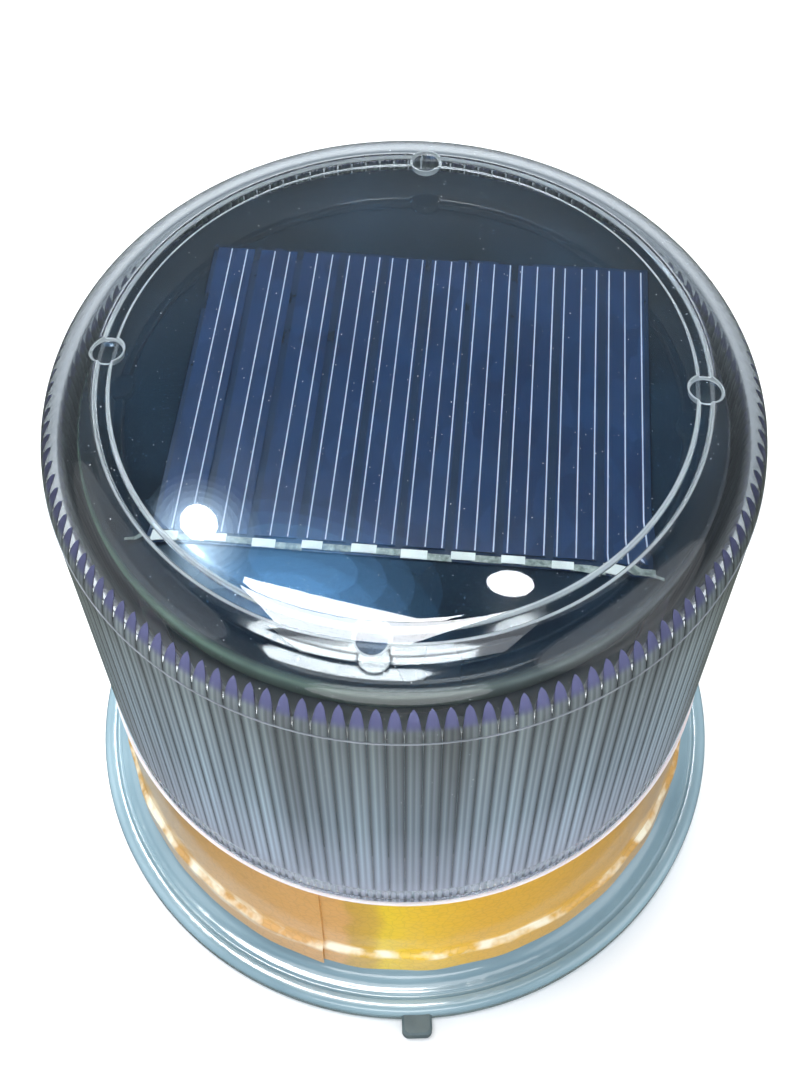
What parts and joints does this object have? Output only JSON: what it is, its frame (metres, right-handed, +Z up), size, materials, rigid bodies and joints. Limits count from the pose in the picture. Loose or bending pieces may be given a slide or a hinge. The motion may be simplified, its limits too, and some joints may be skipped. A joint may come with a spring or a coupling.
{
  "type": "barricade warning light",
  "caption": "Solar warning lantern: clear ribbed lens over a solar panel and LED tower, on a round flanged base with a reflective band.",
  "frame": {"origin": "centre of the flat underside that the light stands on", "axes": "+Z up through the lens; the solar panel's long side is along X and its front edge faces -Y"},
  "size_m": [0.1812, 0.1856, 0.1663],
  "materials": {
    "clear_lens": "clear gloss polycarbonate with fine vertical ribs inside",
    "silicone": "soft translucent white silicone",
    "reflective_tape": "yellow retroreflective sheeting, faint cell pattern",
    "housing": "pale blue-grey gloss plastic",
    "cover": "satin grey plastic",
    "rubber": "matte black rubber",
    "tray": "dark gloss plastic",
    "panel_board": "dark laminate",
    "solar_cell": "blue silicon cell with silver fingers",
    "ribbon": "tinned tab ribbon",
    "tower": "light grey plastic",
    "led_board": "white solder mask",
    "led": "amber LED dome",
    "circuit": "green solder mask",
    "holder": "black plastic",
    "battery": "blue heat-shrink sleeve",
    "button": "red plastic",
    "steel": "stainless screw",
    "brass": "turned brass",
    "wire": "PVC insulated lead"
  },
  "bodies": {
    "light": {"lens": "clear_lens", "lens_seal": "silicone", "reflective_tape": "reflective_tape", "base_housing": "housing", "bottom_cover": "cover", "cover_gasket": "rubber", "solar_tray": "tray", "solar_panel": "panel_board", "front_ribbon": "ribbon", "led_tower": "tower", "controller_board": "circuit", "battery_holder": "holder", "battery_1": "battery", "battery_2": "battery", "switch_body": "holder", "switch_board": "circuit", "vent_plug": "rubber", "solar_lead": "wire", "battery_lead": "wire", "solar_cell_1": "solar_cell", "solar_cell_2": "solar_cell", "solar_cell_3": "solar_cell", "solar_cell_4": "solar_cell", "solar_cell_5": "solar_cell", "solar_cell_6": "solar_cell", "solar_cell_7": "solar_cell", "solar_cell_8": "solar_cell", "solar_cell_9": "solar_cell", "solar_cell_10": "solar_cell", "led_board_1": "led_board", "led_1": "led", "cover_screw_1": "steel", "led_board_2": "led_board", "led_2": "led", "cover_screw_2": "steel", "led_board_3": "led_board", "led_3": "led", "cover_screw_3": "steel", "led_board_4": "led_board", "led_4": "led", "cover_screw_4": "steel", "led_board_5": "led_board", "led_5": "led", "cover_screw_5": "steel", "led_board_6": "led_board", "led_6": "led", "cover_screw_6": "steel", "mounting_insert_1": "brass", "tower_screw_1": "steel", "mounting_insert_2": "brass", "tower_screw_2": "steel", "mounting_insert_3": "brass", "tower_screw_3": "steel", "lens_screw_1": "steel", "lens_screw_2": "steel", "lens_screw_3": "steel", "lens_screw_4": "steel"},
    "button": {"power_button": "button"}
  },
  "joints": [
    {"name": "button_press", "type": "slide", "parent": "light", "child": "button", "axis": [0, 0, 1], "range_m": [0, 0.0015], "stiffness_N_per_m": 800, "springref_m": -0.001}
  ]
}
